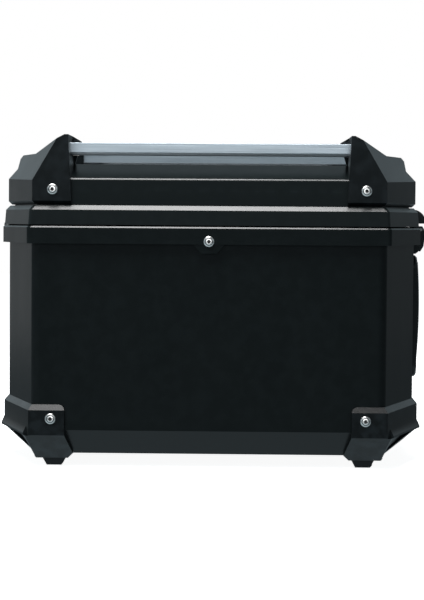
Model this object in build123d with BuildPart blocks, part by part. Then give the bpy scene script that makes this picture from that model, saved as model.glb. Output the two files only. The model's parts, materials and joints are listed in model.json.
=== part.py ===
from build123d import *
from math import hypot
import os

# Hard motorcycle top case with a hinged lid, in millimetres.
# +Z is up. The origin is the centre of the mounting bolt pattern on the underside of the floor.
# -Y is the latch side, +Y is the hinge side, and X runs across the case.
# Heights are counted from 1.5 mm above the ground that the feet stand on; `up` gives their Z.

os.makedirs("parts", exist_ok=True)

# ---------------------------------------------------------------- driving dimensions
floor_h = 11.5
ground_h = -1.5

# Plan outline at the rim: an octagon with long, shallow corner facets.
half_x = 225.0
half_y = 221.0
flat_y = 182.0
flat_x = 105.0

# Insets of each level from the rim's outline.
skirt_inset = 1.6
skirt_top_inset = 2.8
skirt_inner_inset = 5.8
bracket_inset = 5.6
deck_inset = 12.0
deck_top_inset = 13.4
deck_inner_inset = 16.0
crown_inset = 55.0
body_inset = 6.8
guard_inset = 1.75
guard_lip_inset = -1.4
lip_inset = 14.0
bevel_inset = 28.8
wall = 3.0

# Heights of each level.
bevel_h = 36.9
guard_top_h = 62.7
rim_bottom_h = 225.0
wall_top_h = 239.5
rim_top_h = 242.5
skirt_bottom_h = 244.0
skirt_top_h = 259.0
ledge_h = 263.5
deck_edge_h = 290.5
crown_h = 306.0
rail_bottom_h = 315.0
rail_top_h = 327.0
apex_h = 334.6

# Lid hinge.
hinge_y = 219.5
hinge_h = 243.4
hinge_x = 55.0
hinge_width = 44.0
knuckle_r = 4.0
leaf = 1.6
pin_r = 1.5
pin_clearance = 0.06

# Latch.
latch_half_x = 45.0
pivot_y = -226.5
pivot_h = 241.0
key_h = 229.5
barrel_r = 5.5
boss_r = 7.0

# Fasteners.
m5_r = 2.5
m4_r = 2.0
mount_hole_r = 3.3
mount_spacing_x = 160.0
mount_spacing_y = 120.0

corners = {
    "front_left": (-1, -1),
    "front_right": (1, -1),
    "rear_left": (-1, 1),
    "rear_right": (1, 1),
}


# ---------------------------------------------------------------- helpers
def up(height):
    """Z of a height: the underside of the floor is at Z = 0."""
    return height - floor_h


def octagon(inset):
    """Corner points of the case outline, moved in evenly by inset."""
    run_x = half_x - flat_x
    run_y = half_y - flat_y
    across = hypot(run_x, run_y)
    facet_x = run_y / across
    facet_y = run_x / across
    x = half_x - inset
    y = half_y - inset
    corner_y = flat_y - inset * (1 - facet_x) / facet_y
    corner_x = flat_x - inset * (1 - facet_y) / facet_x
    quarter = [(x, corner_y), (corner_x, y)]
    points = quarter
    points = points + [(-px, py) for px, py in reversed(quarter)]
    points = points + [(-px, -py) for px, py in quarter]
    points = points + [(px, -py) for px, py in reversed(quarter)]
    return points


def octagon_block(levels, corner_r=0.0):
    """A solid through octagons at (height, inset) levels, with straight sides between them."""
    with BuildPart() as block:
        for height, inset in levels:
            with BuildSketch(Plane.XY.offset(up(height))) as outline:
                Polygon(*octagon(inset), align=None)
                if corner_r:
                    fillet(outline.vertices(), corner_r)
        loft(ruled=True)
    return block.part


def profile_block(points, plane, length, corner=None, corner_r=0.0):
    """A polygon on a plane, extruded along the plane's normal, with one corner rounded."""
    with BuildPart() as block:
        with BuildSketch(plane) as outline:
            Polygon(*points, align=None)
            if corner is not None:
                nearest = outline.vertices().sort_by_distance(plane.from_local_coords((*corner, 0)))
                fillet(nearest[0], corner_r)
        extrude(amount=length)
    return block.part


def heights(points):
    """Turns (across, height) pairs into (across, Z) pairs."""
    return [(across, up(height)) for across, height in points]


def in_corner(part, side, end):
    """A piece drawn in the +X +Y corner, mirrored to another corner."""
    if side < 0:
        part = mirror(part, about=Plane.YZ)
    if end < 0:
        part = mirror(part, about=Plane.XZ)
    return part


def facing(direction, x, y, height):
    """A plane at a point whose normal is the way a screw's head faces."""
    return Plane(origin=(x, y, up(height)), z_dir=direction)


def drill(planes, radius, depth):
    """Straight holes centred on the planes, reaching depth both ways."""
    with Locations(*planes):
        Cylinder(radius, 2 * depth, mode=Mode.SUBTRACT)


def button_screw(shank_r, length, head_r, head_height):
    """A button-head screw with a hexagon socket. The head stands on the plane's outer side."""
    with BuildPart() as screw:
        Cylinder(head_r, head_height, align=(Align.CENTER, Align.CENTER, Align.MIN))
        fillet(screw.edges().group_by(Axis.Z)[-1], 0.6 * head_height)
        with Locations((0, 0, -length)):
            Cylinder(shank_r, length, align=(Align.CENTER, Align.CENTER, Align.MIN))
        with BuildSketch(Plane.XY.offset(head_height)):
            RegularPolygon(radius=0.36 * head_r, side_count=6)
        extrude(amount=-0.65 * head_height, mode=Mode.SUBTRACT)
    return screw.part


def hex_nut(bore_r, thickness):
    """A plain nut whose outer face lies on the plane."""
    with BuildPart() as nut:
        with BuildSketch():
            RegularPolygon(radius=1.9 * bore_r, side_count=6)
            Circle(bore_r, mode=Mode.SUBTRACT)
        extrude(amount=-thickness)
    return nut.part


def group(name, template, planes):
    """Identical fasteners as separate solids in one node."""
    with BuildPart() as pieces:
        with Locations(*planes):
            add(template)
    save(name, pieces.part)


def save(name, part):
    part.label = name
    export_step(part, f"parts/{name}.step")


def inward(planes, distance):
    """The same planes, moved against their normals."""
    return [plane.offset(-distance) for plane in planes]


# ---------------------------------------------------------------- fastener positions
bracket_screw_y = 157.5
wing_screw_x = 86.0
bracket_screw_h = 279.5
guard_screw_y = 158.4
guard_screw_h = 48.7
tab_screw_h = 228.0
m5_nut = 4.0
m4_nut = 3.2
m5_head_r = 5.5
m5_head_height = 2.6
m4_head_r = 4.0
m4_head_height = 2.0
low_head_r = 3.4
low_head_height = 1.3
drill_depth = 15.0

bracket_x = half_x - bracket_inset
bracket_y = half_y - bracket_inset
guard_x = half_x - guard_inset
guard_y = half_y - guard_inset

bracket_side_planes = [
    facing((side, 0, 0), side * bracket_x, end * bracket_screw_y, bracket_screw_h)
    for side, end in corners.values()
]
bracket_end_planes = [
    facing((0, end, 0), side * wing_screw_x, end * bracket_y, bracket_screw_h)
    for side, end in corners.values()
]
guard_side_planes = [
    facing((side, 0, 0), side * guard_x, end * guard_screw_y, guard_screw_h)
    for side, end in corners.values()
]
guard_end_planes = [
    facing((0, end, 0), side * wing_screw_x, end * guard_y, guard_screw_h)
    for side, end in corners.values()
]
tab_planes = [facing((side, 0, 0), side * half_x, 0, tab_screw_h) for side in (-1, 1)]

# The screws in the two end walls sit in counterbores.
end_sink = 2.4
counterbore_r = m5_head_r + 0.5
bracket_head_planes = bracket_side_planes + inward(bracket_end_planes, end_sink)
guard_head_planes = guard_side_planes + inward(guard_end_planes, end_sink)

panel_screw_x = 72.0
panel_screw_heights = (108.0, 190.0)
inner_wall_y = half_y - body_inset - wall
panel_screw_planes = [
    facing((0, 1, 0), side * panel_screw_x, -inner_wall_y, height)
    for side in (-1, 1)
    for height in panel_screw_heights
]

latch_screw_x = 31.0
latch_screw_h = 232.0
latch_plate_y = -223.2
latch_screw_planes = [
    facing((0, -1, 0), side * latch_screw_x, latch_plate_y, latch_screw_h) for side in (-1, 1)
]
catch_screw_x = 33.0
catch_screw_h = 253.4
skirt_inner_y = half_y - skirt_inner_inset
catch_screw_planes = [
    facing((0, 1, 0), side * catch_screw_x, -skirt_inner_y, catch_screw_h) for side in (-1, 1)
]

hinge_screw_offset = 14.0
body_leaf_screw_h = 233.5
lid_leaf_screw_h = 253.5
hinge_screw_x = [
    side * (hinge_x + shift) for side in (-1, 1) for shift in (-hinge_screw_offset, hinge_screw_offset)
]
body_leaf_planes = [facing((0, 1, 0), x, half_y + leaf, body_leaf_screw_h) for x in hinge_screw_x]
lid_leaf_planes = [
    facing((0, 1, 0), x, half_y - skirt_inset + leaf, lid_leaf_screw_h) for x in hinge_screw_x
]

# ---------------------------------------------------------------- body shell
body_corner_r = 10.0
body_outer = octagon_block(
    [(floor_h, bevel_inset), (bevel_h, body_inset), (wall_top_h, body_inset)], body_corner_r
)
body_inner = octagon_block(
    [
        (floor_h + wall, bevel_inset + 1.3),
        (bevel_h + 1.2, body_inset + wall),
        (wall_top_h + 1, body_inset + wall),
    ],
    body_corner_r - wall,
)

with BuildPart() as body_shell:
    add(body_outer)
    add(body_inner, mode=Mode.SUBTRACT)
    with BuildSketch(Plane.XY):
        with GridLocations(mount_spacing_x, mount_spacing_y, 2, 2):
            Circle(mount_hole_r)
    extrude(amount=2 * wall, mode=Mode.SUBTRACT)
    drill(guard_side_planes + guard_end_planes, m5_r, drill_depth)
    drill(tab_planes, m5_r, drill_depth)
    drill(panel_screw_planes, m4_r, 5)
    drill(latch_screw_planes, m4_r, drill_depth)
    drill(body_leaf_planes, m4_r, drill_depth)
save("body_shell", body_shell.part)

# ---------------------------------------------------------------- rim band and seal
rim_corner_r = 5.0
seal_out = 9.3
seal_in = 12.7
groove_h = 240.9
seal_top_h = 243.7
rim_edge = 1.4
tab_half_top = 15.5
tab_half_bottom = 8.0
tab_bottom_h = 216.0
notch_half_x = hinge_width / 2 + 0.5
notch_y = 215.0

with BuildPart() as rim_band:
    add(
        octagon_block(
            [(rim_bottom_h, 0), (rim_top_h - rim_edge, 0), (rim_top_h, rim_edge)],
            rim_corner_r,
        )
    )
    for side in (-1, 1):
        plane = Plane.YZ.offset(side * (half_x - body_inset))
        tab = heights(
            [
                (-tab_half_top, rim_bottom_h + 1),
                (tab_half_top, rim_bottom_h + 1),
                (tab_half_top, rim_bottom_h),
                (tab_half_bottom, tab_bottom_h),
                (-tab_half_bottom, tab_bottom_h),
                (-tab_half_top, rim_bottom_h),
            ]
        )
        add(profile_block(tab, plane, side * (body_inset - 0.6)))
    add(body_outer, mode=Mode.SUBTRACT)
    add(
        octagon_block([(wall_top_h - 1, lip_inset), (rim_top_h + 1, lip_inset)]),
        mode=Mode.SUBTRACT,
    )
    add(
        octagon_block([(groove_h, seal_out), (rim_top_h + 1, seal_out)])
        - octagon_block([(groove_h, seal_in), (rim_top_h + 1, seal_in)]),
        mode=Mode.SUBTRACT,
    )
    for side in (-1, 1):
        with Locations((side * hinge_x, notch_y, up(hinge_h - knuckle_r - 0.4))):
            Box(2 * notch_half_x, 10, 10, align=(Align.CENTER, Align.MIN, Align.MIN), mode=Mode.SUBTRACT)
    drill(tab_planes, m5_r, drill_depth)
    drill(latch_screw_planes, m4_r, drill_depth)
    drill(body_leaf_planes, m4_r, drill_depth)
save("rim_band", rim_band.part)

seal_round = 0.8
with BuildPart() as rim_seal:
    add(
        octagon_block(
            [
                (groove_h, seal_out),
                (seal_top_h - seal_round, seal_out),
                (seal_top_h, seal_out + seal_round),
            ]
        )
    )
    add(
        octagon_block(
            [
                (groove_h, seal_in),
                (seal_top_h - seal_round, seal_in),
                (seal_top_h, seal_in - seal_round),
            ]
        ),
        mode=Mode.SUBTRACT,
    )
save("rim_seal", rim_seal.part)

# ---------------------------------------------------------------- corner guards and feet
guard_crease_h = 31.9
guard_base_h = 6.0
guard_edge = 4.5
guard_edge_height = 5.5
guard_base_inset = 30.7
lip_h = 31.4
guard_side_y = 144.5
guard_side_foot_y = 137.5
guard_end_x = 70.0
guard_lean = guard_side_y - guard_side_foot_y


def guard_face(inner):
    """Outline of one face of a guard: (distance along the face, height)."""
    return heights(
        [
            (inner, guard_top_h),
            (240, guard_top_h),
            (240, guard_base_h),
            (inner - guard_lean + 5.5, guard_base_h),
            (inner - guard_lean, floor_h),
            (inner, guard_crease_h),
        ]
    )


# Below the lip each guard forms a web with a slanting lower edge, from the side leg up to the
# end of the corner facet and down again to the end leg.
web_top = Vector(105.0, 221.0, up(30.6))
side_leg_point = Vector(190.0, 172.0, up(guard_base_h))
end_leg_point = Vector(86.0, 194.0, up(guard_base_h))
facet_inward = Vector(-0.309, -0.951, 0)
end_inward = Vector(0, -1, 0)
web_rim = 2.6
web_slope = 0.77
web_top_inset = 1.4
leg_lip_slope = 0.677
cut_size = 400.0


def below_edge(start, end, inward_way, raised):
    """Everything under a slanting edge, lifted by raised. The cut runs level across the guard."""
    across = (end - start).cross(inward_way)
    downward = across if across.Z < 0 else -across
    edge_plane = Plane(origin=start, x_dir=inward_way, z_dir=downward)
    with BuildPart() as under:
        with BuildSketch(edge_plane.offset(-raised)):
            Rectangle(cut_size, cut_size)
        extrude(amount=cut_size)
    return under.part


def column(outline, low_h, high_h):
    """An upright block over a plan outline, between two heights."""
    return profile_block(outline, Plane.XY.offset(up(low_h)), high_h - low_h)


def sloped_facets(slope, top_inset):
    """A block whose faces slope inwards below the lip."""
    depth = lip_h - ground_h
    return octagon_block([(ground_h, top_inset + slope * depth), (lip_h, top_inset)])


web_outline = [(232, 183), (192, 172.5), (165, 172.5), (104.9, 200), (104.9, 240), (232, 240)]
end_outline = [(104.9, 170), (104.9, 240), (80, 240), (80, 170)]
leg_outline = [(232, 150), (232, 192), (214, 186), (189, 176.5), (176, 160), (176, 150)]
gap_outline = [(86, 240), (86, 120), (146, 120), (165, 172), (165, 240)]
hollow_outline = [(213, 184), (190, 175), (180, 165), (107, 165), (107, 240), (213, 240)]
hollow_levels = [(ground_h, 26.8), (6.0, 21.2), (14.0, 16.4), (22.0, 11.8), (28.0, 8.6), (lip_h - 1.2, 7.0)]
side_slope = (guard_base_inset - guard_inset) / (guard_crease_h - guard_base_h)
outside_leg = heights(
    [
        (guard_x, guard_crease_h),
        (260, guard_crease_h),
        (260, ground_h),
        (guard_x - side_slope * (guard_crease_h - ground_h), ground_h),
    ]
)

with BuildPart() as guard:
    add(
        octagon_block(
            [
                (guard_base_h, guard_base_inset),
                (guard_crease_h, guard_inset),
                (guard_top_h - guard_edge_height, guard_inset),
                (guard_top_h, guard_inset + guard_edge),
            ]
        )
    )
    # The web reaches out past the lower facet, and furthest beside the leg.
    add(sloped_facets(web_slope, web_top_inset) & column(web_outline, ground_h, lip_h))
    add(sloped_facets(leg_lip_slope, guard_lip_inset) & column(leg_outline, ground_h, lip_h))
    add(profile_block(outside_leg, Plane.XZ, -260), mode=Mode.SUBTRACT)
    # The web is hollowed between the lip, the leg and the slanting edge.
    hollow = column(hollow_outline, ground_h, lip_h - 1.2) - octagon_block(hollow_levels)
    add(hollow - below_edge(web_top, side_leg_point, facet_inward, web_rim), mode=Mode.SUBTRACT)
    # The flared lip runs along the corner facet and the end wall.
    lip = octagon_block(
        [
            (lip_h - 1.2, 3.0),
            (lip_h, 0.2 + guard_lip_inset),
            (lip_h + 2.0, guard_lip_inset),
            (lip_h + 9.0, guard_inset),
        ]
    )
    lip_outline = [(214, 178), (208, 240), (0, 240), (0, 100), (150, 100)]
    add(lip & column(lip_outline, lip_h - 2, lip_h + 10))
    # The slanting lower edges of the web.
    side_cut = below_edge(web_top, side_leg_point, facet_inward, 0)
    end_cut = below_edge(web_top, end_leg_point, end_inward, 0)
    add(side_cut & column(web_outline, ground_h - 1, lip_h), mode=Mode.SUBTRACT)
    add(end_cut & column(end_outline, ground_h - 1, lip_h), mode=Mode.SUBTRACT)
    add(column(gap_outline, ground_h - 1, floor_h), mode=Mode.SUBTRACT)
    side_face = profile_block(
        guard_face(guard_side_y), Plane.YZ, 240, (guard_side_y, up(guard_top_h)), 6
    )
    add(side_face, mode=Mode.INTERSECT)
    end_face = profile_block(guard_face(guard_end_x), Plane.XZ, -240, (guard_end_x, up(guard_top_h)), 6)
    add(end_face, mode=Mode.INTERSECT)
    underside = [(240, 130), (240, 240), (50, 240), (50, 198), (160, 130)]
    add(profile_block(underside, Plane.XY.offset(up(ground_h)), 70), mode=Mode.INTERSECT)
    add(body_outer, mode=Mode.SUBTRACT)
    drill(guard_side_planes + guard_end_planes, m5_r, drill_depth)
    drill(guard_end_planes, counterbore_r, end_sink)
for corner, (side, end) in corners.items():
    save(f"guard_{corner}", in_corner(guard.part, side, end))

with BuildPart() as foot_pad:
    with BuildSketch(Plane.XY.offset(up(guard_base_h))):
        Polygon((193, 146), (193, 169), (172, 170), (163, 152), (168, 146), align=None)
    with BuildSketch(Plane.XY.offset(up(ground_h))):
        Polygon((191, 150), (191, 165), (174, 168), (167, 154), (171, 150), align=None)
    loft(ruled=True)
with BuildPart() as foot_pads:
    for side, end in corners.values():
        add(in_corner(foot_pad.part, side, end))
save("foot_pads", foot_pads.part)

# ---------------------------------------------------------------- front panel
panel_half_x = 95.0
panel_bottom_h = 84.0
panel_top_h = 213.6
panel_thick = 5.0
panel_mid_h = 0.5 * (panel_bottom_h + panel_top_h) + 8
insert_half_x = 84.0
insert_bottom_h = 94.0
insert_top_h = 206.0
dome_peak_y = -226.6
dome_r = 700.0
body_front_y = -(half_y - body_inset)
panel_face_y = body_front_y - panel_thick

with BuildPart() as front_panel:
    with BuildSketch(Plane.XZ.offset(-body_front_y)):
        with Locations((0, up(0.5 * (panel_bottom_h + panel_top_h)))):
            RectangleRounded(2 * panel_half_x, panel_top_h - panel_bottom_h, 14)
    extrude(amount=panel_thick)
    chamfer(front_panel.faces().sort_by(Axis.Y)[0].edges(), 2.0)
    drill(panel_screw_planes, m4_r, 8)
save("front_panel", front_panel.part)

with BuildPart() as front_insert:
    with BuildSketch(Plane.XZ.offset(-panel_face_y)):
        with Locations((0, up(0.5 * (insert_bottom_h + insert_top_h)))):
            RectangleRounded(2 * insert_half_x, insert_top_h - insert_bottom_h, 22)
    extrude(amount=30)
    with Locations((0, dome_peak_y + dome_r, up(panel_mid_h))):
        Sphere(dome_r, mode=Mode.INTERSECT)
save("front_insert", front_insert.part)
group("front_panel_screws", button_screw(m4_r, 8.0, m4_head_r, m4_head_height), panel_screw_planes)

# ---------------------------------------------------------------- lid
skirt_corner_r = 4.0
deck_corner_r = 5.0
edge_round = 3.0
lid_skirt = octagon_block(
    [(skirt_bottom_h, skirt_inset), (skirt_top_h, skirt_top_inset), (ledge_h, skirt_top_inset + 4.5)],
    skirt_corner_r,
)
with BuildPart() as lid_deck:
    add(
        octagon_block(
            [(ledge_h - 4, deck_inset), (deck_edge_h, deck_top_inset), (crown_h, crown_inset)],
            deck_corner_r,
        )
    )
    deck_edges = lid_deck.edges().group_by(Axis.Z)
    shoulder = [edges for edges in deck_edges if abs(edges[0].center().Z - up(deck_edge_h)) < 0.01]
    fillet(shoulder[0], edge_round)

groove_length = 250.0
groove_width = 7.0
groove_depth = 1.2
with BuildPart() as lid_shell:
    add(lid_skirt)
    add(lid_deck.part)
    add(
        octagon_block(
            [
                (skirt_bottom_h - 1, skirt_inner_inset),
                (skirt_top_h - 1.2, skirt_inner_inset),
                (ledge_h - wall, skirt_inner_inset + 2.7),
            ]
        ),
        mode=Mode.SUBTRACT,
    )
    add(
        octagon_block(
            [
                (ledge_h - wall - 0.5, deck_inner_inset),
                (deck_edge_h - 2.0, deck_inner_inset),
                (crown_h - wall, crown_inset + 1),
            ]
        ),
        mode=Mode.SUBTRACT,
    )
    with BuildSketch(Plane.XY.offset(up(crown_h))):
        with GridLocations(46, 0, 5, 1):
            SlotOverall(groove_length, groove_width, rotation=90)
    extrude(amount=-groove_depth, mode=Mode.SUBTRACT)
    for side in (-1, 1):
        with Locations((side * hinge_x, notch_y - 1, up(skirt_bottom_h - 1))):
            Box(
                2 * notch_half_x,
                10,
                hinge_h + knuckle_r + 0.4 - skirt_bottom_h + 1,
                align=(Align.CENTER, Align.MIN, Align.MIN),
                mode=Mode.SUBTRACT,
            )
    drill(bracket_side_planes + bracket_end_planes, m5_r, drill_depth)
    drill(catch_screw_planes, m4_r, 7)
    drill(lid_leaf_planes, m4_r, 8)
save("lid_shell", lid_shell.part)

frame_h = 3.5
with BuildPart() as lid_frame:
    add(
        octagon_block(
            [(skirt_bottom_h, skirt_inner_inset), (skirt_bottom_h + frame_h, skirt_inner_inset)]
        )
    )
    add(
        octagon_block([(skirt_bottom_h - 1, lip_inset), (skirt_bottom_h + frame_h + 1, lip_inset)]),
        mode=Mode.SUBTRACT,
    )
save("lid_frame", lid_frame.part)

# ---------------------------------------------------------------- rails
rail_outer_x = 200.0
rail_inner_x = 168.0
rail_half_y = 160.0
rail_end_cut = 5.0
rail_edge = 2.4
rail_top_edge = 0.4
rail_wall = 2.5
rail_mid_x = 0.5 * (rail_outer_x + rail_inner_x)
rail_width = rail_outer_x - rail_inner_x
rail_height = rail_top_h - rail_bottom_h
rail_mid_h = 0.5 * (rail_top_h + rail_bottom_h)

# The ends are cut on a slant, so each rail is longer along its underside.
rail_side = heights(
    [
        (-rail_half_y - rail_end_cut, rail_bottom_h),
        (rail_half_y + rail_end_cut, rail_bottom_h),
        (rail_half_y, rail_top_h),
        (-rail_half_y, rail_top_h),
    ]
)

with BuildPart() as rail:
    with BuildSketch(Plane.XZ.offset(-rail_half_y - rail_end_cut)) as rail_section:
        with Locations((rail_mid_x, up(rail_mid_h))):
            Rectangle(rail_width, rail_height)
        chamfer(rail_section.vertices().group_by(Axis.Y)[0], rail_edge)
        chamfer(rail_section.vertices().group_by(Axis.Y)[-1], rail_top_edge)
        with Locations((rail_mid_x, up(rail_mid_h))):
            RectangleRounded(rail_width - 2 * rail_wall, rail_height - 2 * rail_wall, 1, mode=Mode.SUBTRACT)
    extrude(amount=2 * (rail_half_y + rail_end_cut))
    add(profile_block(rail_side, Plane.YZ, 240), mode=Mode.INTERSECT)

# Each rail end stands on a shelf in its bracket and is screwed down from below.
rail_screw_y = 152.0
cheek_x = 164.0
shelf_thick = 4.0
shelf_h = rail_bottom_h - shelf_thick
rail_screw_planes = [
    facing((0, 0, -1), side * rail_mid_x, end * rail_screw_y, shelf_h) for side, end in corners.values()
]
for name, side in (("rail_left", -1), ("rail_right", 1)):
    with BuildPart() as one_rail:
        add(in_corner(rail.part, side, 1))
        drill(rail_screw_planes, m4_r, 7)
    save(name, one_rail.part)

# ---------------------------------------------------------------- lid corner brackets
bracket_wall = 4.0
bracket_bottom_h = 264.5
bracket_edge = 3.5
shoulder_h = 293.0
ridge_low = (bracket_x, 175.4, shoulder_h)
ridge_high = (bracket_x, 153.8, 329.9)
facet_end = (104.2, 215.1, 292.0)
side_profile = [
    (138.5, bracket_bottom_h),
    (bracket_y + 1, bracket_bottom_h),
    (bracket_y + 1, 290.6),
    (204.0, 302.0),
    (203.0, 313.0),
    (199.4, 316.6),
    (180.3, 316.6),
    (145.7, apex_h),
    (142.0, apex_h),
]
bracket_region = [(230, 130), (230, 230), (70, 230), (70, 181), (125, 181), (164, 158), (164, 130)]


def point_up(point):
    x, y, height = point
    return Vector(x, y, up(height))


def bracket_block(inset, bottom_h):
    """The bracket's outer form, drawn in by inset on every face, above bottom_h."""
    across = point_up(facet_end) - point_up(ridge_low)
    along = point_up(ridge_high) - point_up(ridge_low)
    slope = Plane(origin=point_up(ridge_low), z_dir=across.cross(along))
    wing_slope = Plane(origin=(70, 0, up(shoulder_h - 4)), z_dir=(-0.86, 0, 0.5))
    with BuildPart() as block:
        with BuildSketch(Plane.YZ):
            Polygon(*heights(side_profile), align=None)
            if inset:
                offset(amount=-inset, kind=Kind.INTERSECTION, mode=Mode.REPLACE)
        extrude(amount=240)
        with BuildSketch(Plane.XY.offset(up(bottom_h))):
            Polygon(*octagon(bracket_inset), align=None)
            Polygon(*bracket_region, align=None, mode=Mode.INTERSECT)
            if inset:
                offset(amount=-inset, kind=Kind.INTERSECTION, mode=Mode.REPLACE)
        extrude(amount=100, mode=Mode.INTERSECT)
        split(bisect_by=slope.offset(-inset), keep=Keep.BOTTOM)
        split(bisect_by=wing_slope.offset(-inset), keep=Keep.BOTTOM)
    return block.part


cheek_shape = [
    (150, apex_h),
    (142.0, apex_h),
    (132.8, 329.2),
    (133.4, 326.0),
    (143.0, 294.0),
    (150, 294.0),
]
shelf_shape = heights([(139, shelf_h), (168, shelf_h), (168, rail_bottom_h), (139, rail_bottom_h)])
rail_window = heights(
    [(120, rail_bottom_h), (168, rail_bottom_h), (168, rail_top_h + 0.4), (120, rail_top_h + 0.4)]
)
with BuildPart() as bracket:
    add(bracket_block(0, bracket_bottom_h))
    # The lower outside edge is bevelled.
    add(
        octagon_block(
            [
                (bracket_bottom_h, bracket_inset + bracket_edge),
                (bracket_bottom_h + bracket_edge, bracket_inset),
                (apex_h + 1, bracket_inset),
            ]
        ),
        mode=Mode.INTERSECT,
    )
    add(bracket_block(bracket_wall, shoulder_h + 1), mode=Mode.SUBTRACT)
    # The inner cheek reaches past the outer face, above and below the rail.
    add(profile_block(heights(cheek_shape), Plane.YZ.offset(cheek_x), rail_inner_x - cheek_x))
    add(bracket_block(0, bracket_bottom_h) & profile_block(shelf_shape, Plane.YZ.offset(cheek_x), 60))
    # The rail's inner face is left open.
    add(profile_block(rail_window, Plane.YZ.offset(cheek_x - 1), 6), mode=Mode.SUBTRACT)
    add(lid_deck.part, mode=Mode.SUBTRACT)
    add(profile_block(rail_side, Plane.YZ.offset(rail_inner_x), rail_width), mode=Mode.SUBTRACT)
    drill(bracket_side_planes + bracket_end_planes, m5_r, drill_depth)
    drill(bracket_end_planes, counterbore_r, end_sink)
    drill(rail_screw_planes, m4_r, 7)
for corner, (side, end) in corners.items():
    save(f"bracket_{corner}", in_corner(bracket.part, side, end))

deck_depth = deck_inner_inset - bracket_inset
screw_end = 1.0
bracket_screw = button_screw(m5_r, deck_depth + m5_nut + screw_end, m5_head_r, m5_head_height)
group("bracket_screws", bracket_screw, bracket_head_planes)
group("rail_screws", button_screw(m4_r, 6.5, m4_head_r, m4_head_height), rail_screw_planes)
lid_nut_planes = inward(bracket_side_planes + bracket_end_planes, deck_depth)
group("bracket_nuts", hex_nut(m5_r, m5_nut), lid_nut_planes)

guard_depth = body_inset - guard_inset + wall
guard_screw = button_screw(m5_r, guard_depth + m5_nut + screw_end, m5_head_r, m5_head_height)
group("guard_screws", guard_screw, guard_head_planes)
group("guard_nuts", hex_nut(m5_r, m5_nut), inward(guard_side_planes + guard_end_planes, guard_depth))
group("rim_screws", button_screw(m5_r, 14.5, m5_head_r, m5_head_height), tab_planes)
group("rim_nuts", hex_nut(m5_r, m5_nut), inward(tab_planes, body_inset + wall))

# ---------------------------------------------------------------- hinges
knuckle_gap = 0.3
knuckle_third = hinge_width / 3
leaf_clear = 4.5
lid_leaf_depth = leaf + 1.8
lid_wall_depth = leaf + skirt_inner_inset - skirt_inset


def knuckle(centre_x, length, bore_r):
    """A hinge knuckle on the lid's axis."""
    axis_plane = Plane(origin=(centre_x, hinge_y, up(hinge_h)), z_dir=(1, 0, 0))
    with BuildPart() as barrel:
        with Locations(axis_plane):
            Cylinder(knuckle_r, length)
            Cylinder(bore_r, length + 1, mode=Mode.SUBTRACT)
    return barrel.part


def leaf_plate(centre_x, width, outer_y, low_h, high_h, thickness):
    """A flat leaf against a vertical wall, from its outer face inwards by its thickness."""
    with BuildPart() as plate:
        with Locations((centre_x, outer_y - thickness, up(low_h))):
            Box(width, thickness, high_h - low_h, align=(Align.CENTER, Align.MIN, Align.MIN))
    return plate.part


def bore_cut(centre_x, radius):
    axis_plane = Plane(origin=(centre_x, hinge_y, up(hinge_h)), z_dir=(1, 0, 0))
    with BuildPart() as cut:
        with Locations(axis_plane):
            Cylinder(radius, hinge_width + 4)
    return cut.part


for name, side in (("left", -1), ("right", 1)):
    x = side * hinge_x
    outer_length = knuckle_third - knuckle_gap
    with BuildPart() as body_leaf:
        add(leaf_plate(x, hinge_width, half_y + leaf, 228.5, hinge_h - leaf_clear, leaf))
        for end in (-1, 1):
            add(leaf_plate(x + end * knuckle_third, outer_length, half_y + leaf, 230, hinge_h, leaf))
            add(knuckle(x + end * knuckle_third, outer_length, pin_r))
        add(bore_cut(x, pin_r), mode=Mode.SUBTRACT)
        drill(body_leaf_planes, m4_r, 5)
    save(f"hinge_body_leaf_{name}", body_leaf.part)
    with BuildPart() as lid_leaf:
        lid_leaf_y = half_y - skirt_inset + leaf
        add(leaf_plate(x, hinge_width, lid_leaf_y, hinge_h + leaf_clear, 258.5, lid_leaf_depth))
        add(leaf_plate(x, outer_length, lid_leaf_y, hinge_h, 250, leaf))
        add(lid_skirt, mode=Mode.SUBTRACT)
        add(knuckle(x, outer_length, pin_r + pin_clearance))
        add(bore_cut(x, pin_r + pin_clearance), mode=Mode.SUBTRACT)
        drill(lid_leaf_planes, m4_r, 5)
    save(f"hinge_lid_leaf_{name}", lid_leaf.part)

with BuildPart() as hinge_pins:
    for side in (-1, 1):
        pin_plane = Plane(origin=(side * hinge_x, hinge_y, up(hinge_h)), z_dir=(1, 0, 0))
        with Locations(pin_plane):
            Cylinder(pin_r, hinge_width)
save("hinge_pins", hinge_pins.part)
hinge_screw = button_screw(m4_r, leaf + body_inset + wall + 2.8, low_head_r, low_head_height)
group("hinge_body_screws", hinge_screw, body_leaf_planes)
group("hinge_body_nuts", hex_nut(m4_r, m4_nut), inward(body_leaf_planes, leaf + body_inset + wall))
lid_hinge_screw = button_screw(m4_r, lid_wall_depth + 2.8, low_head_r, low_head_height)
group("hinge_lid_screws", lid_hinge_screw, lid_leaf_planes)
group("hinge_lid_nuts", hex_nut(m4_r, m4_nut), inward(lid_leaf_planes, lid_wall_depth))

# ---------------------------------------------------------------- latch on the body
cheek_inner_x = 40.6
base_profile = [
    (body_front_y, 214.6),
    (-220.8, 214.6),
    (-223.5, 216.6),
    (-227.2, 222.4),
    (-229.2, 230.0),
    (-229.8, 240.6),
    (-228.0, 244.6),
    (-221.0, 244.6),
    (-221.0, rim_bottom_h),
    (body_front_y, rim_bottom_h),
]
pocket_profile = [
    (-217.0, 212.0),
    (-240.0, 212.0),
    (-240.0, 250.0),
    (latch_plate_y, 250.0),
    (latch_plate_y, rim_bottom_h - 2.0),
    (-217.0, rim_bottom_h - 2.0),
]
hook_notch_half_x = 14.0
keeper_out_x = 10.8
keeper_web_x = 9.4
keeper_in_x = 7.6
pin_plane = Plane(origin=(0, pivot_y, up(pivot_h)), z_dir=(1, 0, 0))

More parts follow.
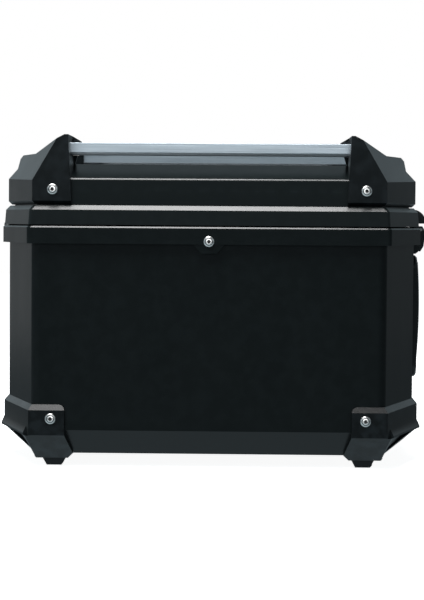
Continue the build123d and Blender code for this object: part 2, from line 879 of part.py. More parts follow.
with BuildPart() as latch_base:
    add(profile_block(heights(base_profile), Plane.YZ.offset(-latch_half_x), 2 * latch_half_x))
    add(
        profile_block(heights(pocket_profile), Plane.YZ.offset(-cheek_inner_x), 2 * cheek_inner_x),
        mode=Mode.SUBTRACT,
    )
    # The backing plate is cut down where the lever's hook swings over it.
    with Locations((0, latch_plate_y - 1, up(pivot_h - 0.5))):
        Box(
            2 * hook_notch_half_x,
            4,
            5,
            align=(Align.CENTER, Align.MIN, Align.MIN),
            mode=Mode.SUBTRACT,
        )
    # The keeper that the lock's cam turns behind.
    with BuildSketch(Plane.XY.offset(up(key_h - 2.5))):
        Polygon(
            (keeper_web_x, latch_plate_y),
            (keeper_out_x, latch_plate_y),
            (keeper_out_x, -227.4),
            (keeper_in_x, -227.4),
            (keeper_in_x, -226.0),
            (keeper_web_x, -226.0),
            align=None,
        )
    extrude(amount=5)
    with Locations(pin_plane):
        Cylinder(pin_r, 2 * latch_half_x + 2, mode=Mode.SUBTRACT)
    drill(latch_screw_planes, m4_r, drill_depth)
save("latch_base", latch_base.part)

with BuildPart() as latch_pin:
    with Locations(pin_plane):
        Cylinder(pin_r, 2 * latch_half_x)
save("latch_pin", latch_pin.part)
group("latch_screws", button_screw(m4_r, 16.2, low_head_r, low_head_height), latch_screw_planes)
latch_nut_depth = -latch_plate_y - inner_wall_y
group("latch_nuts", hex_nut(m4_r, m4_nut), inward(latch_screw_planes, latch_nut_depth))

# ---------------------------------------------------------------- latch lever
spring_x = 24.0
wire_r = 0.4
coil_r = 2.15
coil_length = 8.0
spring_relief_r = coil_r + wire_r + 0.4
lever_half_x = 40.0
lug_r = 3.0
lug_inner_x = 33.0
lug_web = [(pivot_y, 238.0), (-229.8, 234.0), (-229.8, 241.0), (pivot_y, 244.0)]
lever_profile = [
    (-228.8, 244.0),
    (-230.9, 240.4),
    (-231.4, 232.0),
    (-229.8, 222.6),
    (-226.4, 217.0),
    (-225.2, 218.6),
    (-227.5, 223.6),
    (-228.9, 232.0),
    (-228.7, 239.6),
    (-227.6, 241.4),
]
hook_half_x = 13.0
hook_profile = [
    (-228.4, 238.6),
    (-229.9, 236.4),
    (-229.6, 241.8),
    (-226.0, 244.6),
    (-226.0, 251.2),
    (-227.6, 251.2),
    (-227.6, 252.2),
    (-226.6, 252.8),
    (-224.0, 252.8),
    (-224.0, 243.0),
]
key_plane = Plane(origin=(0, 0, up(key_h)), x_dir=(1, 0, 0), z_dir=(0, -1, 0))

with BuildPart() as latch_lever:
    add(profile_block(heights(lever_profile), Plane.YZ.offset(-lever_half_x), 2 * lever_half_x))
    for side in (-1, 1):
        lug_plane = Plane.YZ.offset(side * lug_inner_x)
        lug_length = side * (lever_half_x - lug_inner_x)
        with BuildSketch(lug_plane):
            with Locations((pivot_y, up(pivot_h))):
                Circle(lug_r)
            Polygon(*heights(lug_web), align=None)
        extrude(amount=lug_length)
    add(profile_block(heights(hook_profile), Plane.YZ.offset(-hook_half_x), 2 * hook_half_x))
    with BuildSketch(key_plane.offset(226.6)):
        Circle(boss_r)
    extrude(amount=3.4)
    with BuildSketch(key_plane.offset(220)):
        Circle(barrel_r + pin_clearance)
    extrude(amount=20, mode=Mode.SUBTRACT)
    with Locations(pin_plane):
        Cylinder(pin_r + pin_clearance, 2 * latch_half_x + 2, mode=Mode.SUBTRACT)
    # Room for the coils round the pin.
    for side in (-1, 1):
        with Locations(pin_plane.offset(side * spring_x)):
            Cylinder(spring_relief_r, coil_length + 1.6, mode=Mode.SUBTRACT)
save("latch_lever", latch_lever.part)

# ---------------------------------------------------------------- lock
cam_reach = 8.5
with BuildPart() as key_cylinder:
    with BuildSketch(key_plane.offset(225.3)):
        Circle(barrel_r)
    extrude(amount=6.8)
    fillet(key_cylinder.edges().sort_by(Axis.Y)[0], 0.5)
    with BuildSketch(key_plane.offset(232.1)):
        Rectangle(1.6, 7.0)
    extrude(amount=-4, mode=Mode.SUBTRACT)
save("key_cylinder", key_cylinder.part)

with BuildPart() as lock_cam:
    with BuildSketch(key_plane.offset(223.9)):
        Circle(3.6)
        with Locations((0, -0.5 * (cam_reach - 2))):
            Rectangle(5.0, cam_reach - 2)
        with Locations((0, -(cam_reach - 2.5))):
            Circle(2.5)
    extrude(amount=1.4)
save("lock_cam", lock_cam.part)

# ---------------------------------------------------------------- latch springs
with BuildPart() as latch_springs:
    for side in (-1, 1):
        start = side * spring_x - 0.5 * coil_length
        with BuildLine() as coil_path:
            Helix(
                pitch=1.15,
                height=coil_length,
                radius=coil_r,
                center=(start, pivot_y, up(pivot_h)),
                direction=(1, 0, 0),
            )
        with BuildSketch(Plane(origin=coil_path.line @ 0, z_dir=coil_path.line % 0)):
            Circle(wire_r)
        sweep(path=coil_path.line, is_frenet=True)
save("latch_springs", latch_springs.part)

# ---------------------------------------------------------------- catch on the lid
catch_back_y = -(half_y - skirt_inner_inset)
hood_h = 247.4
with BuildPart() as lid_catch:
    with BuildSketch(Plane.YZ.offset(-latch_half_x)) as hood_section:
        with BuildLine():
            Polyline(
                (catch_back_y, up(hood_h)),
                (-231.8, up(hood_h)),
                (-231.6, up(250.0)),
            )
            ThreePointArc((-231.6, up(250.0)), (-228.4, up(257.4)), (-221.0, up(262.2)))
            Polyline(
                (-221.0, up(262.2)),
                (catch_back_y, up(262.2)),
                (catch_back_y, up(hood_h)),
            )
        make_face()
    extrude(amount=2 * latch_half_x)
    add(lid_skirt, mode=Mode.SUBTRACT)
    pocket = heights(
        [(-229.5, 240), (-229.5, 253.0), (-226.5, 254.6), (catch_back_y, 254.6), (catch_back_y, 240)]
    )
    add(profile_block(pocket, Plane.YZ.offset(-17), 34), mode=Mode.SUBTRACT)
    drill(catch_screw_planes, m4_r, 9)
save("lid_catch", lid_catch.part)

striker_shape = heights([(-229.5, 247.4), (-228.6, 247.4), (-228.0, 248.4), (-228.0, 250.6), (-229.5, 250.6)])
save("striker", profile_block(striker_shape, Plane.YZ.offset(-16), 32))
group("catch_screws", button_screw(m4_r, 9.0, m4_head_r, m4_head_height), catch_screw_planes)

# ---------------------------------------------------------------- inside the case
plate_thick = 2.0
mat_thick = 4.0
mat_inset = 37.0
plate_half_x = 110.0
plate_half_y = 85.0
floor_top_h = floor_h + wall
mat_bottom_h = floor_top_h + plate_thick + 0.3
with BuildPart() as floor_plate:
    with BuildSketch(Plane.XY.offset(up(floor_top_h))):
        RectangleRounded(2 * plate_half_x, 2 * plate_half_y, 12)
        with GridLocations(mount_spacing_x, mount_spacing_y, 2, 2):
            Circle(mount_hole_r, mode=Mode.SUBTRACT)
    extrude(amount=plate_thick)
save("floor_plate", floor_plate.part)

bolt_relief_r = 10.0
with BuildPart() as floor_mat:
    with BuildSketch(Plane.XY.offset(up(mat_bottom_h))) as mat_outline:
        Polygon(*octagon(mat_inset), align=None)
        fillet(mat_outline.vertices(), 12)
        with GridLocations(mount_spacing_x, mount_spacing_y, 2, 2):
            Circle(bolt_relief_r, mode=Mode.SUBTRACT)
    extrude(amount=mat_thick)
save("floor_mat", floor_mat.part)
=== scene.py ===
import json
import math

import bmesh
import bpy
from mathutils import Matrix, Vector


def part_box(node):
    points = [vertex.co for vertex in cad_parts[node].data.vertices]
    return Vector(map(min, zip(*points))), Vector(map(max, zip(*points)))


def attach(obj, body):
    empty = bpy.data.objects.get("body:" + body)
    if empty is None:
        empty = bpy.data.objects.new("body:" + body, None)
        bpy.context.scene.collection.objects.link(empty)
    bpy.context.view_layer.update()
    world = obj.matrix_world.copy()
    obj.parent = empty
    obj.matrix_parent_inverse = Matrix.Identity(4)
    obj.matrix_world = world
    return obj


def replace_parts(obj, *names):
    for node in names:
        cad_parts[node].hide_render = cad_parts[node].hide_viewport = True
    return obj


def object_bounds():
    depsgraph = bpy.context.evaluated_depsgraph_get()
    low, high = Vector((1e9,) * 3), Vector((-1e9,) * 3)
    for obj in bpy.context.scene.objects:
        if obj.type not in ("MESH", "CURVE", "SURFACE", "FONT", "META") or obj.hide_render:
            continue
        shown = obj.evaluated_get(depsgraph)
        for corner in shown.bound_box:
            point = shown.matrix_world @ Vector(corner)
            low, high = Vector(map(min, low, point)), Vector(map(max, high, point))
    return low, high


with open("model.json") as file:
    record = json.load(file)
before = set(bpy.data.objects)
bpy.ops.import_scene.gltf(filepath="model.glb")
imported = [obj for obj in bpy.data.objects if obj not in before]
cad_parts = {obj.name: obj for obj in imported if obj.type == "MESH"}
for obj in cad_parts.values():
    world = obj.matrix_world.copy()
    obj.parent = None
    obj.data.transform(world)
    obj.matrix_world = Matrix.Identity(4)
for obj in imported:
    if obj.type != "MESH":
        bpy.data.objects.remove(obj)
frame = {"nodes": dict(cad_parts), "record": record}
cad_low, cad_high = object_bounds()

# A hard motorcycle top case, shown from its side. Lengths are in metres.
nodes = frame["nodes"]
mm = 0.001
scene = bpy.context.scene


# ---------------------------------------------------------------- material helpers
def new_material(name):
    """An empty node material and its shader."""
    material = bpy.data.materials.new(name)
    material.use_nodes = True
    tree = material.node_tree
    tree.nodes.clear()
    output = tree.nodes.new("ShaderNodeOutputMaterial")
    shader = tree.nodes.new("ShaderNodeBsdfPrincipled")
    tree.links.new(shader.outputs["BSDF"], output.inputs["Surface"])
    return material, tree, shader


def link(tree, source, target):
    """Joins an output socket to an input socket."""
    tree.links.new(source, target)


def noise(tree, scale, detail=3.0, stretch=(1, 1, 1)):
    """Noise on the object's own coordinates, stretched along chosen axes."""
    place = tree.nodes.new("ShaderNodeTexCoord")
    mapping = tree.nodes.new("ShaderNodeMapping")
    mapping.inputs["Scale"].default_value = stretch
    texture = tree.nodes.new("ShaderNodeTexNoise")
    texture.inputs["Scale"].default_value = scale
    texture.inputs["Detail"].default_value = detail
    link(tree, place.outputs["Object"], mapping.inputs["Vector"])
    link(tree, mapping.outputs["Vector"], texture.inputs["Vector"])
    return texture.outputs["Fac"]


def ramp(tree, value, low, high, low_at=0.3, high_at=0.7):
    """Turns a 0 to 1 value into a number between low and high."""
    node = tree.nodes.new("ShaderNodeMapRange")
    node.inputs["From Min"].default_value = low_at
    node.inputs["From Max"].default_value = high_at
    node.inputs["To Min"].default_value = low
    node.inputs["To Max"].default_value = high
    link(tree, value, node.inputs["Value"])
    return node.outputs["Result"]


def colour_between(tree, value, first, second):
    """Turns a 0 to 1 value into a colour between two."""
    node = tree.nodes.new("ShaderNodeValToRGB")
    for element, position, colour in zip(node.color_ramp.elements, (0.3, 0.7), (first, second)):
        element.position = position
        element.color = (*colour, 1)
    link(tree, value, node.inputs["Fac"])
    return node.outputs["Color"]


def mixed(tree, factor, first, second):
    """Blends two colours, plain or from sockets, by a factor socket."""
    node = tree.nodes.new("ShaderNodeMix")
    node.data_type = "RGBA"
    link(tree, factor, node.inputs["Factor"])
    for socket, value in ((node.inputs["A"], first), (node.inputs["B"], second)):
        if isinstance(value, tuple):
            socket.default_value = (*value, 1)
        else:
            link(tree, value, socket)
    return node.outputs["Result"]


def added(tree, first, second, kind="ADD"):
    """Two numbers, plain or from sockets, added or joined in another way."""
    node = tree.nodes.new("ShaderNodeMath")
    node.operation = kind
    for socket, value in zip(node.inputs, (first, second)):
        if isinstance(value, float):
            socket.default_value = value
        else:
            link(tree, value, socket)
    return node.outputs["Value"]


def bump(tree, shader, height, strength, distance):
    """Gives a shader fine relief from a height socket."""
    node = tree.nodes.new("ShaderNodeBump")
    node.inputs["Strength"].default_value = strength
    node.inputs["Distance"].default_value = distance
    link(tree, height, node.inputs["Height"])
    link(tree, node.outputs["Normal"], shader.inputs["Normal"])


def edge_wear(tree):
    """Near 1 along sharp outward edges, broken up by noise."""
    geometry = tree.nodes.new("ShaderNodeNewGeometry")
    sharp = ramp(tree, geometry.outputs["Pointiness"], 0.0, 1.0, 0.52, 0.6)
    patches = ramp(tree, noise(tree, 90.0, 5.0), 0.0, 1.0, 0.42, 0.62)
    return added(tree, sharp, patches, "MULTIPLY")


# ---------------------------------------------------------------- materials
def moulded_plastic(name, dark, light, worn, rough, grain=0.25):
    """Satin black moulded plastic: a fine spark grain, faint clouding and lighter rubbed edges."""
    material, tree, shader = new_material(name)
    clouds = noise(tree, 9.0, 4.0)
    body = colour_between(tree, clouds, dark, light)
    colour = mixed(tree, edge_wear(tree), body, worn)
    link(tree, colour, shader.inputs["Base Color"])
    smears = noise(tree, 34.0, 5.0, (1, 1, 0.35))
    link(tree, ramp(tree, smears, rough - 0.012, rough + 0.015), shader.inputs["Roughness"])
    grains = noise(tree, 2600.0, 2.0)
    waves = noise(tree, 14.0, 1.0)
    height = added(tree, grains, added(tree, waves, 1.2, "MULTIPLY"))
    bump(tree, shader, height, grain, 0.00012)
    shader.inputs["IOR"].default_value = 1.48
    return material


def gloss_plastic(name, dark, light, rough):
    """Smooth moulded plastic with a slight orange-peel wave and dust in its roughness."""
    material, tree, shader = new_material(name)
    colour = colour_between(tree, noise(tree, 12.0, 3.0), dark, light)
    link(tree, colour, shader.inputs["Base Color"])
    link(tree, ramp(tree, noise(tree, 60.0, 5.0), rough, rough + 0.07), shader.inputs["Roughness"])
    bump(tree, shader, noise(tree, 120.0, 1.0), 0.12, 0.0002)
    shader.inputs["IOR"].default_value = 1.5
    shader.inputs["Coat Weight"].default_value = 0.25
    shader.inputs["Coat Roughness"].default_value = 0.12
    return material


def brushed_metal(name, dark, light, rough, stretch):
    """Metal drawn or brushed along one axis."""
    material, tree, shader = new_material(name)
    streaks = noise(tree, 900.0, 4.0, stretch)
    clouds = noise(tree, 11.0, 3.0)
    body = colour_between(tree, clouds, dark, light)
    bright = tuple(min(1.0, 1.15 * c) for c in light)
    rubbed = added(tree, ramp(tree, streaks, 0.0, 0.5), edge_wear(tree), "MAXIMUM")
    link(tree, mixed(tree, rubbed, body, bright), shader.inputs["Base Color"])
    shader.inputs["Metallic"].default_value = 1.0
    link(tree, ramp(tree, streaks, rough - 0.06, rough + 0.08), shader.inputs["Roughness"])
    bump(tree, shader, streaks, 0.3, 0.00006)
    return material


def plated_steel(name, dark, light, rough):
    """Plated steel with a fine tumbled surface and dull spots."""
    material, tree, shader = new_material(name)
    spots = noise(tree, 700.0, 5.0)
    colour = mixed(tree, ramp(tree, noise(tree, 160.0, 4.0), 0.0, 1.0), dark, light)
    link(tree, colour, shader.inputs["Base Color"])
    shader.inputs["Metallic"].default_value = 1.0
    link(tree, ramp(tree, spots, rough, rough + 0.16), shader.inputs["Roughness"])
    bump(tree, shader, spots, 0.25, 0.00004)
    return material


def rubber(name, dark, light, rough):
    """Matt rubber with a soft bloom and a fine pebbled skin."""
    material, tree, shader = new_material(name)
    bloom = colour_between(tree, noise(tree, 22.0, 5.0), dark, light)
    link(tree, bloom, shader.inputs["Base Color"])
    dulling = ramp(tree, noise(tree, 150.0, 3.0), rough - 0.08, rough + 0.08)
    link(tree, dulling, shader.inputs["Roughness"])
    bump(tree, shader, noise(tree, 1500.0, 2.0), 0.4, 0.0002)
    shader.inputs["Specular IOR Level"].default_value = 0.35
    return material


shell_black = moulded_plastic(
    "shell_black", (0.0010, 0.0030, 0.0032), (0.0012, 0.0034, 0.0036), (0.008, 0.012, 0.013), 0.30
)
armour_black = moulded_plastic(
    "armour_black", (0.0022, 0.0034, 0.0042), (0.0026, 0.0040, 0.0048), (0.016, 0.020, 0.023), 0.33, 0.3
)
latch_black = moulded_plastic(
    "latch_black", (0.006, 0.0075, 0.008), (0.008, 0.0095, 0.010), (0.03, 0.033, 0.035), 0.34, 0.15
)
insert_black = gloss_plastic("insert_black", (0.012, 0.0135, 0.0145), (0.016, 0.018, 0.019), 0.2)
rail_silver = brushed_metal("rail_silver", (0.60, 0.67, 0.73), (0.66, 0.73, 0.79), 0.38, (1, 0.012, 1))
screw_steel = plated_steel("screw_steel", (0.70, 0.70, 0.69), (0.82, 0.82, 0.81), 0.26)
zinc_steel = plated_steel("zinc_steel", (0.42, 0.42, 0.40), (0.60, 0.59, 0.55), 0.36)
hinge_steel = moulded_plastic(
    "hinge_steel", (0.009, 0.0105, 0.011), (0.013, 0.0145, 0.015), (0.12, 0.12, 0.12), 0.42, 0.5
)
key_metal = plated_steel("key_metal", (0.52, 0.50, 0.47), (0.66, 0.64, 0.60), 0.22)
seal_black = rubber("seal_black", (0.010, 0.010, 0.011), (0.016, 0.016, 0.017), 0.62)
mat_grey = rubber("mat_grey", (0.020, 0.021, 0.022), (0.032, 0.033, 0.034), 0.75)

finishes = {
    "shell_plastic": shell_black,
    "armour_plastic": armour_black,
    "latch_plastic": latch_black,
    "insert_gloss": insert_black,
    "rail_aluminium": rail_silver,
    "screw_steel": screw_steel,
    "zinc_steel": zinc_steel,
    "hinge_steel": hinge_steel,
    "key_metal": key_metal,
    "seal_rubber": seal_black,
    "mat_rubber": mat_grey,
}
slot_of = {row["node"]: row["material_slot"] for row in frame["record"]["subparts"]}
body_of = {
    name: body for body, names in frame["record"]["behaviour"]["bodies"].items() for name in names
}


def finish_of(node):
    """The material of the node's slot in the record."""
    return finishes[slot_of[node]]


for name, node in nodes.items():
    node.data.materials.clear()
    node.data.materials.append(finish_of(name))


# ---------------------------------------------------------------- moulded pieces
mould_segments = 2
hard_edge = math.radians(28.0)
joined_within = 2e-6
flat_within = math.radians(0.6)


def new_object(name, data):
    """An object of that name and data in the scene."""
    made = bpy.data.objects.new(name, data)
    scene.collection.objects.link(made)
    return made


def place(piece, node):
    """Gives a piece the finish of the node's slot, and the node's body."""
    piece.data.materials.clear()
    piece.data.materials.append(finish_of(node))
    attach(piece, body_of[node])
    return piece


def clean_copy(node):
    """The node's mesh with its corners joined and its flat faces whole."""
    mesh = nodes[node].data.copy()
    work = bmesh.new()
    work.from_mesh(mesh)
    bmesh.ops.remove_doubles(work, verts=work.verts, dist=joined_within)
    bmesh.ops.dissolve_limit(
        work, angle_limit=flat_within, verts=work.verts, edges=work.edges, delimit=set()
    )
    work.to_mesh(mesh)
    work.free()
    return mesh


def moulded(node, radius):
    """The node with its hard edges rounded as a mould leaves them."""
    mesh = clean_copy(node)
    piece = new_object(f"{node}_moulded", mesh)
    mesh.shade_smooth()
    rounding = piece.modifiers.new("rounding", "BEVEL")
    rounding.width = radius
    rounding.segments = mould_segments
    rounding.limit_method = "ANGLE"
    rounding.angle_limit = hard_edge
    rounding.use_clamp_overlap = True
    rounding.harden_normals = True
    rounding.miter_outer = "MITER_ARC"
    weights = piece.modifiers.new("weights", "WEIGHTED_NORMAL")
    weights.keep_sharp = True
    bpy.context.view_layer.update()
    evaluated = piece.evaluated_get(bpy.context.evaluated_depsgraph_get())
    final = bpy.data.meshes.new_from_object(evaluated)
    piece.modifiers.clear()
    piece.data = final
    place(piece, node)
    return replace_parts(piece, node)


# ---------------------------------------------------------------- screws
# Painted shade: a dark steel laid on the floors of the screw heads' grooves and sockets in place of
# their shadow.
socket_painted_shade = plated_steel("socket_painted_shade", (0.035, 0.035, 0.036), (0.06, 0.06, 0.06), 0.5)
ring_steps = 48
sharp_turn = math.radians(32)
side_shank_r = 2.5 * mm
small_shank_r = 2.0 * mm


def screw_places(node):
    """Where each screw of a node stands: the root of its head, the way it faces and its sizes."""
    mesh = clean_copy(node)
    work = bmesh.new()
    work.from_mesh(mesh)
    reached = set()
    places = []
    for first in work.verts:
        if first in reached:
            continue
        # Every point joined to the first one belongs to the same screw.
        reached.add(first)
        waiting = [first]
        points = []
        while waiting:
            vertex = waiting.pop()
            points.append(vertex.co.copy())
            for side in vertex.link_edges:
                other = side.other_vert(vertex)
                if other not in reached:
                    reached.add(other)
                    waiting.append(other)
        low = Vector([min(point[i] for point in points) for i in range(3)])
        high = Vector([max(point[i] for point in points) for i in range(3)])
        size = high - low
        axis = max(range(3), key=lambda i: size[i])
        middle = 0.5 * (low + high)
        radius = 0.5 * min(size)
        wide = []
        for point in points:
            off = point - middle
            if off.length_squared - off[axis] ** 2 > (0.9 * radius) ** 2:
                wide.append(point[axis])
        sign = 1 if sum(wide) / len(wide) > middle[axis] else -1
        facing = Vector((0, 0, 0))
        facing[axis] = sign
        root = middle.copy()
        root[axis] = min(wide) if sign > 0 else max(wide)
        tip = high[axis] if sign > 0 else low[axis]
        head = abs(tip - root[axis])
        places.append((root, facing, radius, head, size[axis] - head))
    work.free()
    bpy.data.meshes.remove(mesh)
    return places


def screw_rings(head_r, head_height, shank_r, length):
    """Rings of a button head and its shank from the tip up: (radius, height, hexagonal, dark); faces up
    to a dark ring get painted shade.
    """
    r = head_r
    h = head_height
    shank = [
        (0.0, -length, False, False),
        (shank_r - 0.3 * mm, -length, False, False),
        (shank_r, -length + 0.4 * mm, False, False),
        (shank_r, 0.0, False, False),
    ]
    rim = [
        (0.94 * r, 0.0, False, False),
        (r, 0.06 * h, False, False),
        (r, 0.34 * h, False, False),
        (0.95 * r, 0.55 * h, False, False),
        (0.86 * r, 0.68 * h, False, False),
        (0.735 * r, 0.78 * h, False, False),
    ]
    # The groove's outer wall and floor are marked dark: painted shade.
    groove = [
        (0.725 * r, 0.58 * h, False, True),
        (0.605 * r, 0.58 * h, False, True),
        (0.595 * r, 0.88 * h, False, False),
    ]
    crown = [
        (0.50 * r, 0.95 * h, False, False),
        (0.42 * r, h, False, False),
    ]
    # The socket's lower walls and bottom are marked dark: painted shade.
    socket = [
        (0.335 * r, h, True, False),
        (0.32 * r, 0.95 * h, True, False),
        (0.315 * r, 0.35 * h, True, True),
        (0.0, 0.30 * h, True, True),
    ]
    return shank + rim + groove + crown + socket


def ring_points(radius, height, hexagonal):
    """The points of one ring about the Z axis, or its one point where the radius is 0."""
    if radius == 0.0:
        return [Vector((0, 0, height))]
    points = []
    for step in range(ring_steps):
        angle = 2 * math.pi * step / ring_steps
        reach = radius
        if hexagonal:
            reach = radius / math.cos((angle + math.pi / 6) % (math.pi / 3) - math.pi / 6)
        points.append(Vector((reach * math.cos(angle), reach * math.sin(angle), height)))
    return points


def band(work, lower, upper, material_index):
    """The faces between two rings, either of which may be a single point."""
    for step in range(ring_steps):
        after = (step + 1) % ring_steps
        if len(lower) == 1:
            corners = (lower[0], upper[after], upper[step])
        elif len(upper) == 1:
            corners = (lower[step], lower[after], upper[0])
        else:
            corners = (lower[step], lower[after], upper[after], upper[step])
        face = work.faces.new(corners)
        face.smooth = True
        face.material_index = material_index


def screw_heads(node, shank_r):
    """The node's screws with a ring groove and a hexagon socket turned and pressed into each head, the
    groove and socket floors in painted shade.
    """
    work = bmesh.new()
    for root, facing, head_r, head_height, length in screw_places(node):
        turn_to = Vector((0, 0, 1)).rotation_difference(facing).to_matrix()
        previous = None
        for radius, height, hexagonal, dark in screw_rings(head_r, head_height, shank_r, length):
            points = ring_points(radius, height, hexagonal)
            ring = [work.verts.new(root + turn_to @ point) for point in points]
            if previous is not None:
                # Bands that reach a dark ring take the second material, which paints shade.
                band(work, previous, ring, 1 if dark else 0)
            previous = ring
    bmesh.ops.recalc_face_normals(work, faces=work.faces)
    mesh = bpy.data.meshes.new(f"{node}_turned")
    material_indices = [face.material_index for face in work.faces]
    work.to_mesh(mesh)
    work.free()
    mesh.set_sharp_from_angle(angle=sharp_turn)
    piece = new_object(f"{node}_turned", mesh)
    place(piece, node)
    # The second material paints shade into the grooves and sockets.
    mesh.materials.append(socket_painted_shade)
    mesh.polygons.foreach_set("material_index", material_indices)
    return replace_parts(piece, node)


side_nodes = ("bracket_screws", "guard_screws", "rim_screws")
side_screws = [screw_heads(node, side_shank_r) for node in side_nodes]
for node in ("rail_screws", "front_panel_screws", "catch_screws"):
    screw_heads(node, small_shank_r)
for node in ("hinge_body_screws", "hinge_lid_screws", "latch_screws"):
    screw_heads(node, small_shank_r)

# ---------------------------------------------------------------- the mouldings
corner_names = ("front_left", "front_right", "rear_left", "rear_right")
tub_round = 0.6 * mm
lid_round = 0.7 * mm
corner_round = 0.9 * mm
rail_round = 0.2 * mm
trim_round = 0.5 * mm
moulded("body_shell", tub_round)
moulded("rim_band", tub_round)
moulded("lid_shell", lid_round)
guards = [moulded(f"guard_{corner}", corner_round) for corner in corner_names]
for corner in corner_names:
    moulded(f"bracket_{corner}", corner_round)
near_rail = moulded("rail_left", rail_round)
far_rail = moulded("rail_right", rail_round)
for node in ("front_panel", "front_insert", "latch_base", "latch_lever", "lid_catch"):
    moulded(node, trim_round)


# ---------------------------------------------------------------- ribs on the floor mat
def ribbed_mat():
    """Low, straight ribs moulded on the mat's upper face, broken round the bolt holes."""
    low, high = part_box("floor_mat")
    top = high[2] - 0.2 * mm
    margin = 8 * mm
    reach = high[1] - margin
    rib_half = 1.6 * mm
    crest_half = 1.0 * mm
    rib_height = 0.9 * mm
    pitch = 11 * mm
    hole_x = 80 * mm
    hole_y = 60 * mm
    hole_clear = 13 * mm
    # The mat's corner facets: how far they lie from its middle, and the way they face.
    facet_reach = 197.6 * mm
    facet_x = 0.309
    facet_y = 0.951
    work = bmesh.new()
    count = int((high[0] - margin) / pitch)
    for index in range(-count, count + 1):
        x = index * pitch
        end = min(reach, (facet_reach - facet_x * abs(x)) / facet_y)
        spans = [(-end, end)]
        if abs(abs(x) - hole_x) < hole_clear:
            gap_low = hole_y - hole_clear
            gap_high = hole_y + hole_clear
            spans = [(-end, -gap_high), (-gap_low, gap_low), (gap_high, end)]
        for start, stop in spans:
            feet = []
            crests = []
            for y, inward_way in ((start, 1), (stop, -1)):
                for across in (-1, 1):
                    feet.append(work.verts.new((x + across * rib_half, y, top)))
                    crest_y = y + inward_way * rib_height
                    crests.append(work.verts.new((x + across * crest_half, crest_y, top + rib_height)))
            order = (0, 1, 3, 2)
            work.faces.new([crests[i] for i in order])
            for first, second in zip(order, order[1:] + order[:1]):
                work.faces.new([feet[first], feet[second], crests[second], crests[first]])
    bmesh.ops.recalc_face_normals(work, faces=work.faces)
    mesh = bpy.data.meshes.new("floor_mat_ribs")
    work.to_mesh(mesh)
    work.free()
    return place(new_object("floor_mat_ribs", mesh), "floor_mat")


ribbed_mat()


# ---------------------------------------------------------------- floor and room
ground = cad_low.z
floor_size = 14.0
half = 0.5 * floor_size
sheet = bpy.data.meshes.new("studio_floor")
sheet.from_pydata(
    [(-half, -half, ground), (half, -half, ground), (half, half, ground), (-half, half, ground)],
    [],
    [(0, 1, 2, 3)],
)
floor = new_object("studio_floor", sheet)
floor_material, floor_tree, floor_shader = new_material("studio_paper")
paper_fibres = noise(floor_tree, 6.0, 3.0)
paper = colour_between(floor_tree, paper_fibres, (0.86, 0.86, 0.86), (0.88, 0.88, 0.88))
link(floor_tree, paper, floor_shader.inputs["Base Color"])
floor_shader.inputs["Roughness"].default_value = 0.9
floor_shader.inputs["Specular IOR Level"].default_value = 0.1
floor_shader.inputs["Emission Color"].default_value = (1, 1, 1, 1)
floor_shader.inputs["Emission Strength"].default_value = 0.92
sheet.materials.append(floor_material)
floor.visible_glossy = False
floor.visible_diffuse = False

# A white room as the camera sees it, and a dimmer, cooler one as it lights the case.
world = bpy.data.worlds.new("studio")
scene.world = world
world.use_nodes = True
tree = world.node_tree
tree.nodes.clear()
path = tree.nodes.new("ShaderNodeLightPath")
seen = tree.nodes.new("ShaderNodeBackground")
seen.inputs["Color"].default_value = (1, 1, 1, 1)
seen.inputs["Strength"].default_value = 1.0
lit = tree.nodes.new("ShaderNodeBackground")
lit.inputs["Color"].default_value = (0.74, 0.92, 1.0, 1)
choice = tree.nodes.new("ShaderNodeMixShader")
output = tree.nodes.new("ShaderNodeOutputWorld")
link(tree, path.outputs["Is Camera Ray"], choice.inputs["Fac"])
link(tree, lit.outputs["Background"], choice.inputs[1])
link(tree, seen.outputs["Background"], choice.inputs[2])
link(tree, choice.outputs["Shader"], output.inputs["Surface"])

# The studio's walls: how bright they are by how far up they lie, from below to overhead.
heading = tree.nodes.new("ShaderNodeTexCoord")
split = tree.nodes.new("ShaderNodeSeparateXYZ")
link(tree, heading.outputs["Generated"], split.inputs["Vector"])
wall_levels = [
    (0.0, 0.42),
    (0.30, 0.42),
    (0.44, 0.06),
    (0.515, 0.05),
    (0.57, 0.34),
    (0.70, 0.26),
    (0.80, 0.08),
    (1.0, 0.08),
]
walls = tree.nodes.new("ShaderNodeValToRGB")
while len(walls.color_ramp.elements) < len(wall_levels):
    walls.color_ramp.elements.new(0.5)
for element, (position, level) in zip(walls.color_ramp.elements, wall_levels):
    element.position = position
    element.color = (level, level, level, 1)
link(tree, ramp(tree, split.outputs["Z"], 0.0, 1.0, -1.0, 1.0), walls.inputs["Fac"])
# The hinge side of the room is the brighter one.
sideways = ramp(tree, split.outputs["Y"], 0.85, 1.65, -1.0, 1.0)
link(tree, added(tree, walls.outputs["Color"], sideways, "MULTIPLY"), lit.inputs["Strength"])


# ---------------------------------------------------------------- lights
def softbox(name, spot, aim, width, height, power):
    """A rectangular soft light at a spot, facing a point."""
    light = bpy.data.lights.new(name, "AREA")
    light.shape = "RECTANGLE"
    light.size = width
    light.size_y = height
    light.energy = power
    lamp = new_object(name, light)
    lamp.location = spot
    lamp.rotation_euler = (Vector(aim) - Vector(spot)).to_track_quat("-Z", "Y").to_euler()
    return lamp


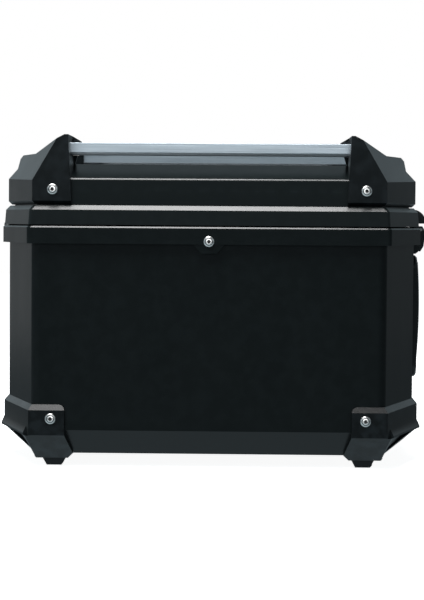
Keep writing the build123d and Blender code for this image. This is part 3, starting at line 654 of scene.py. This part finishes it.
def keep_light(lamp, pieces, state="INCLUDE"):
    """Keeps a light on some pieces alone, or off them with EXCLUDE."""
    group = bpy.data.collections.new(f"{lamp.name}_pieces")
    for piece in pieces:
        group.objects.link(piece)
    lamp.light_linking.receiver_collection = group
    for link_row in group.collection_objects:
        link_row.light_linking.link_state = state


# Overhead, one soft light for the case and weaker copies of it for the guards and the rails.
rails = [near_rail, far_rail]
overhead = ((-0.36, 0.15, 1.75), (0, 0, 0.25), 0.72, 1.9)
keep_light(softbox("top_light", *overhead, 62.0), guards + rails, "EXCLUDE")
keep_light(softbox("guard_light", *overhead, 27.0), guards)
keep_light(softbox("rails_light", *overhead, 10.0), rails)

# From the near side, low strips for the rails' faces and a broad light for the screw heads.
rail_strip = ((-0.62, 0.12, 0.62), (-0.2, 0, 0.31), 0.9, 0.16)
keep_light(softbox("near_rail_light", *rail_strip, 3.9), [near_rail])
keep_light(softbox("far_rail_light", *rail_strip, 0.65), [far_rail])
keep_light(softbox("screw_light", (-1.9, 0.0, 0.5), (0, 0, 0.2), 1.3, 1.1, 11.0), side_screws)

# From behind, a weak light for the corner facets of each end.
softbox("left_strip", (2.4, 1.6, 0.6), (0, 0, 0.2), 0.8, 1.4, 0.65)
softbox("right_strip", (2.4, -1.6, 0.6), (0, 0, 0.2), 0.8, 1.4, 0.12)

# ---------------------------------------------------------------- camera
scene.view_settings.view_transform = "Standard"

eye_height = 0.2370
eye_sideways = 0.001
camera_distance = 2.225
camera_yaw = math.radians(1.15)
camera_pitch = math.radians(2.258)
camera_roll = math.radians(0.42)
camera_data = bpy.data.cameras.new("camera")
camera_data.lens = 120.0
camera_data.sensor_width = 36.0
camera_data.clip_end = 60.0
camera = new_object("camera", camera_data)
turn = Matrix.Rotation(math.radians(-90.0) + camera_yaw, 4, "Z")
tilt = Matrix.Rotation(math.radians(90.0) - camera_pitch, 4, "X")
roll = Matrix.Rotation(camera_roll, 4, "Z")
eye_x = -camera_distance * math.cos(camera_yaw)
eye_y = -camera_distance * math.sin(camera_yaw) + eye_sideways
camera.matrix_world = Matrix.Translation((eye_x, eye_y, eye_height)) @ turn @ tilt @ roll
bpy.context.scene.camera = camera
